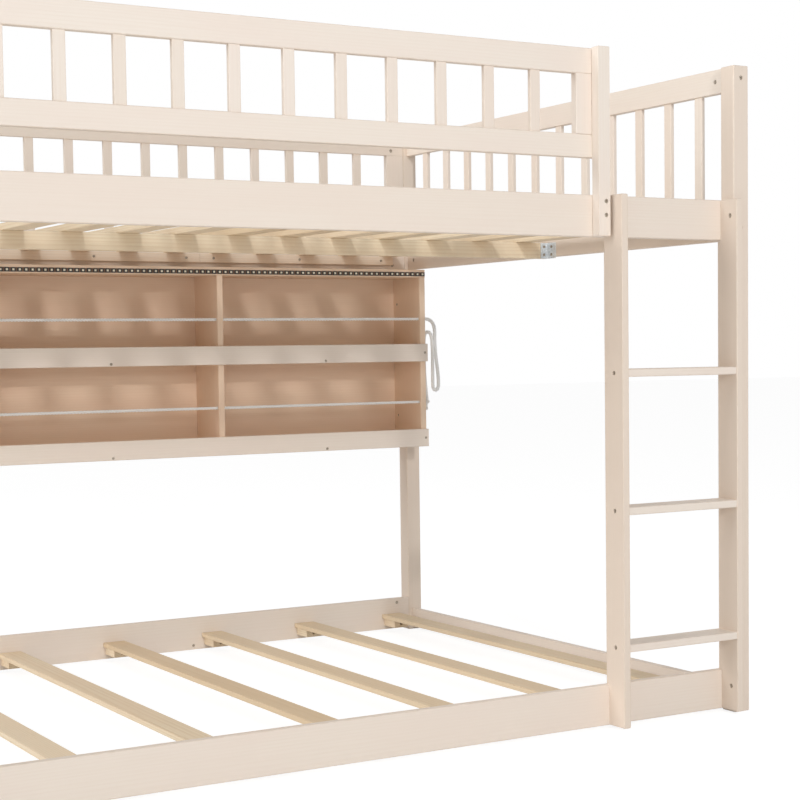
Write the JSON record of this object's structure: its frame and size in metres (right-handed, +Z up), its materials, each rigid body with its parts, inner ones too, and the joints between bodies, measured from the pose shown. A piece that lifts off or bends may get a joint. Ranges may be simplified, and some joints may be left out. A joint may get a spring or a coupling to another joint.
{
  "type": "low bunk bed",
  "caption": "Low bunk bed of pale washed pine with slatted decks, spindle guard fences, a notched ladder and a rope-fronted bookshelf with a light strip.",
  "frame": {"origin": "on the floor, at the middle of the bed's outside box, ladder included", "axes": "+X along the bed towards the ladder end, +Y from the ladder side to the bookshelf side, +Z up"},
  "size_m": [2, 1.4996, 1.45],
  "materials": {
    "painted_wood": "pale translucent wash, satin",
    "pine": "planed, unfinished",
    "zinc": "zinc plated",
    "fitting_steel": "plated",
    "strip": "dark flexible strip",
    "led": "milky lens, unlit",
    "rope": "laid white cotton rope"
  },
  "bodies": {
    "root": {"post_front_right": "painted_wood", "post_front_left": "painted_wood", "post_back_right": "painted_wood", "post_back_left": "painted_wood", "lower_rail_front": "painted_wood", "lower_rail_back": "painted_wood", "lower_rail_right": "painted_wood", "lower_rail_left": "painted_wood", "upper_rail_front": "painted_wood", "upper_rail_back": "painted_wood", "upper_rail_right": "painted_wood", "upper_rail_left": "painted_wood", "guard_front_top_rail": "painted_wood", "guard_front_lower_rail": "painted_wood", "guard_front_stile_left": "painted_wood", "guard_front_stile_right": "painted_wood", "guard_front_spindles": "painted_wood", "guard_post": "painted_wood", "guard_back_top_rail": "painted_wood", "guard_back_stile_right": "painted_wood", "guard_back_stile_left": "painted_wood", "guard_back_spindles": "painted_wood", "guard_right_top_rail": "painted_wood", "guard_right_spindles": "painted_wood", "guard_left_top_rail": "painted_wood", "guard_left_spindles": "painted_wood", "ladder_stile_left": "painted_wood", "ladder_stile_right": "painted_wood", "ladder_rung_1": "painted_wood", "ladder_rung_2": "painted_wood", "ladder_rung_3": "painted_wood", "shelf_side_right": "painted_wood", "shelf_side_left": "painted_wood", "shelf_top": "painted_wood", "shelf_back": "painted_wood", "shelf_bottom": "painted_wood", "shelf_middle": "painted_wood", "shelf_lip_lower": "painted_wood", "shelf_lip_upper": "painted_wood", "shelf_divider_left": "painted_wood", "shelf_divider_right": "painted_wood", "upper_cleats_front": "pine", "upper_cleats_back": "pine", "upper_beam": "pine", "upper_slats": "pine", "lower_slats": "pine", "lower_slat_blocks": "pine", "beam_brackets": "zinc", "light_strip": "strip", "light_strip_leds": "led", "shelf_rope": "rope"}
  },
  "joints": []
}
